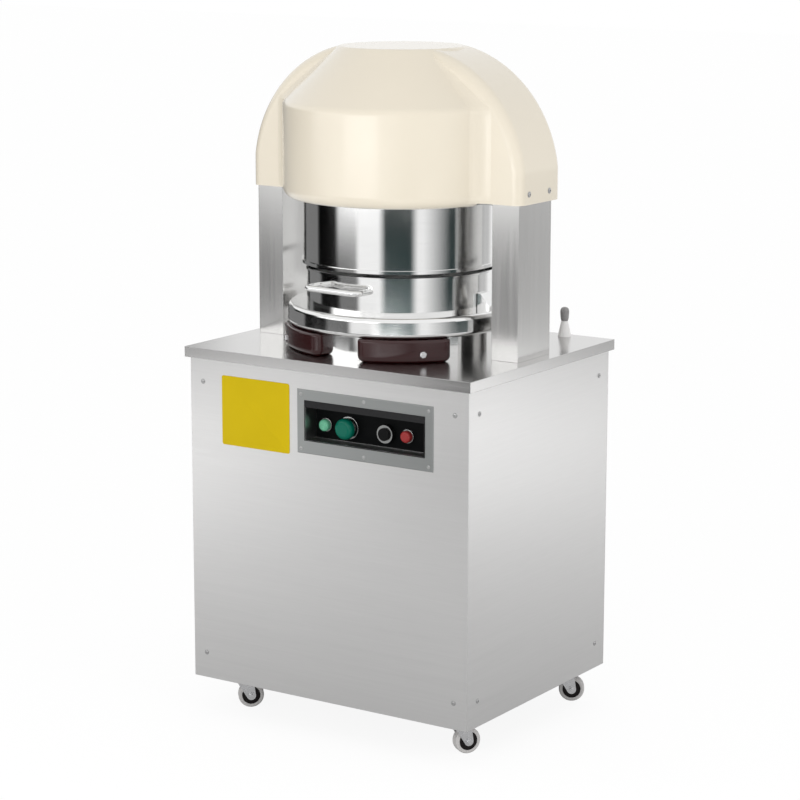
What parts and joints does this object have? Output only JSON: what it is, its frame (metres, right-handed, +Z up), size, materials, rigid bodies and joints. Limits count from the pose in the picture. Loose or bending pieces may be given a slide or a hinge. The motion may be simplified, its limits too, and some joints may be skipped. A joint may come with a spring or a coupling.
{
  "type": "dough divider",
  "caption": "Free-standing electric dough divider: sheet-metal cabinet on casters, column-guided press head with ring and spoke knives, lift-out pan.",
  "frame": {"origin": "on the floor under the centre of the bounding box", "axes": "+Z up, front with the controls towards -Y, the controls' side of the front towards +X"},
  "size_m": [0.64, 0.522, 1.285],
  "materials": {
    "brushed_panel": "fine brushed stainless sheet",
    "satin_column": "satin stainless sheet",
    "cream_hood": "smooth cream gloss",
    "polished_steel": "mirror polished stainless",
    "pan_floor": "turned aluminium",
    "maroon_casting": "dark maroon gloss enamel",
    "frame_paint": "grey primer",
    "plain_steel": "machined steel",
    "ground_rod": "ground and hard chromed",
    "bronze": "turned bronze",
    "cast_head": "grey casting",
    "press_aluminium": "machined food-safe aluminium",
    "drive_paint": "blue-grey enamel",
    "black_box": "matt black",
    "chrome_ring": "bright chrome",
    "green_button": "green gloss",
    "black_button": "black gloss",
    "green_lens": "pale green lens",
    "red_lens": "red lens",
    "grommet_rubber": "matt black rubber",
    "pale_plastic": "pale moulded plastic",
    "dark_plastic": "dark gloss",
    "zinc_steel": "bright zinc plate",
    "wheel_rubber": "pale grey tread"
  },
  "bodies": {
    "cabinet": {"base_frame": "frame_paint", "table_top": "brushed_panel", "front_panel": "brushed_panel", "back_panel": "brushed_panel", "left_panel": "brushed_panel", "right_panel": "brushed_panel", "left_column": "satin_column", "right_column": "satin_column", "hood": "cream_hood", "head_plate": "plain_steel", "knife_housing": "polished_steel", "guide_bushes": "bronze", "pan_base": "polished_steel", "seat_blocks": "maroon_casting", "pan_guides": "polished_steel", "shaft_bearings": "cast_head", "drive_bed": "frame_paint", "reducer": "drive_paint", "gear_motor": "drive_paint", "control_box": "brushed_panel", "control_plate": "black_box", "control_bezel": "brushed_panel", "button_collars": "chrome_ring", "green_lamp": "green_lens", "red_lamp": "red_lens", "switch_blocks": "black_box", "cable_grommet": "grommet_rubber", "knob_base": "pale_plastic", "caster_mounts": "zinc_steel"},
    "head": {"crosshead": "cast_head", "left_pull_rod": "ground_rod", "right_pull_rod": "ground_rod", "rod_nuts": "plain_steel", "knife_grid": "plain_steel", "knife_carrier": "plain_steel", "knife_posts": "ground_rod", "press_springs": "plain_steel"},
    "press_block": {"press_block": "press_aluminium"},
    "drive_shaft": {"drive_shaft": "plain_steel", "left_pinion": "plain_steel", "right_pinion": "plain_steel"},
    "pan": {"pan_ring": "polished_steel", "pan_plate": "pan_floor", "front_pan_handle": "polished_steel", "rear_pan_handle": "polished_steel"},
    "start_button": {"start_button": "green_button"},
    "stop_button": {"stop_button": "black_button"},
    "table_knob": {"table_knob": "dark_plastic"},
    "caster_front_left": {"caster_fork_front_left": "zinc_steel", "caster_axle_front_left": "zinc_steel"},
    "wheel_front_left": {"caster_wheel_front_left": "wheel_rubber"},
    "caster_front_right": {"caster_fork_front_right": "zinc_steel", "caster_axle_front_right": "zinc_steel"},
    "wheel_front_right": {"caster_wheel_front_right": "wheel_rubber"},
    "caster_rear_left": {"caster_fork_rear_left": "zinc_steel", "caster_axle_rear_left": "zinc_steel"},
    "wheel_rear_left": {"caster_wheel_rear_left": "wheel_rubber"},
    "caster_rear_right": {"caster_fork_rear_right": "zinc_steel", "caster_axle_rear_right": "zinc_steel"},
    "wheel_rear_right": {"caster_wheel_rear_right": "wheel_rubber"}
  },
  "joints": [
    {"name": "head_slide", "type": "slide", "parent": "cabinet", "child": "head", "axis": [0, 0, -1], "range_m": [0, 0.074]},
    {"name": "press_slide", "type": "slide", "parent": "head", "child": "press_block", "axis": [0, 0, 1], "range_m": [0, 0.03], "stiffness_N_per_m": 4000, "springref_m": -0.02, "deforming": ["press_springs"]},
    {"name": "drive_turn", "type": "hinge", "parent": "cabinet", "child": "drive_shaft", "pos_m": [0, 0.0472, 0.47], "axis": [1, 0, 0], "range_deg": [-2, 120]},
    {"name": "pan_slide", "type": "slide", "parent": "cabinet", "child": "pan", "axis": [0, -1, 0], "range_m": [0, 0.42]},
    {"name": "start_press", "type": "slide", "parent": "cabinet", "child": "start_button", "axis": [0, 1, 0], "range_m": [0, 0.004], "stiffness_N_per_m": 400, "springref_m": -0.004},
    {"name": "stop_press", "type": "slide", "parent": "cabinet", "child": "stop_button", "axis": [0, 1, 0], "range_m": [0, 0.004], "stiffness_N_per_m": 400, "springref_m": -0.004},
    {"name": "knob_turn", "type": "hinge", "parent": "cabinet", "child": "table_knob", "pos_m": [0.222, 0.238, 0.76], "axis": [0, 0, 1], "continuous": true},
    {"name": "swivel_front_left", "type": "hinge", "parent": "cabinet", "child": "caster_front_left", "pos_m": [-0.25, -0.193, 0.062], "axis": [0, 0, 1], "continuous": true},
    {"name": "roll_front_left", "type": "hinge", "parent": "caster_front_left", "child": "wheel_front_left", "pos_m": [-0.23315, -0.17886, 0.025], "axis": [-0.6428, 0.766, 0], "continuous": true},
    {"name": "swivel_front_right", "type": "hinge", "parent": "cabinet", "child": "caster_front_right", "pos_m": [0.25, -0.193, 0.062], "axis": [0, 0, 1], "continuous": true},
    {"name": "roll_front_right", "type": "hinge", "parent": "caster_front_right", "child": "wheel_front_right", "pos_m": [0.2623, -0.17476, 0.025], "axis": [-0.829, 0.5592, 0], "continuous": true},
    {"name": "swivel_rear_left", "type": "hinge", "parent": "cabinet", "child": "caster_rear_left", "pos_m": [-0.25, 0.193, 0.062], "axis": [0, 0, 1], "continuous": true},
    {"name": "roll_rear_left", "type": "hinge", "parent": "caster_rear_left", "child": "wheel_rear_left", "pos_m": [-0.23528, 0.20935, 0.025], "axis": [-0.7431, 0.6691, 0], "continuous": true},
    {"name": "swivel_rear_right", "type": "hinge", "parent": "cabinet", "child": "caster_rear_right", "pos_m": [0.25, 0.193, 0.062], "axis": [0, 0, 1], "continuous": true},
    {"name": "roll_rear_right", "type": "hinge", "parent": "caster_rear_right", "child": "wheel_rear_right", "pos_m": [0.26905, 0.204, 0.025], "axis": [-0.5, 0.866, 0], "continuous": true}
  ],
  "couplings": [
    {"joint": "drive_turn", "follows": "head_slide", "rad_per_m": 27.778}
  ]
}
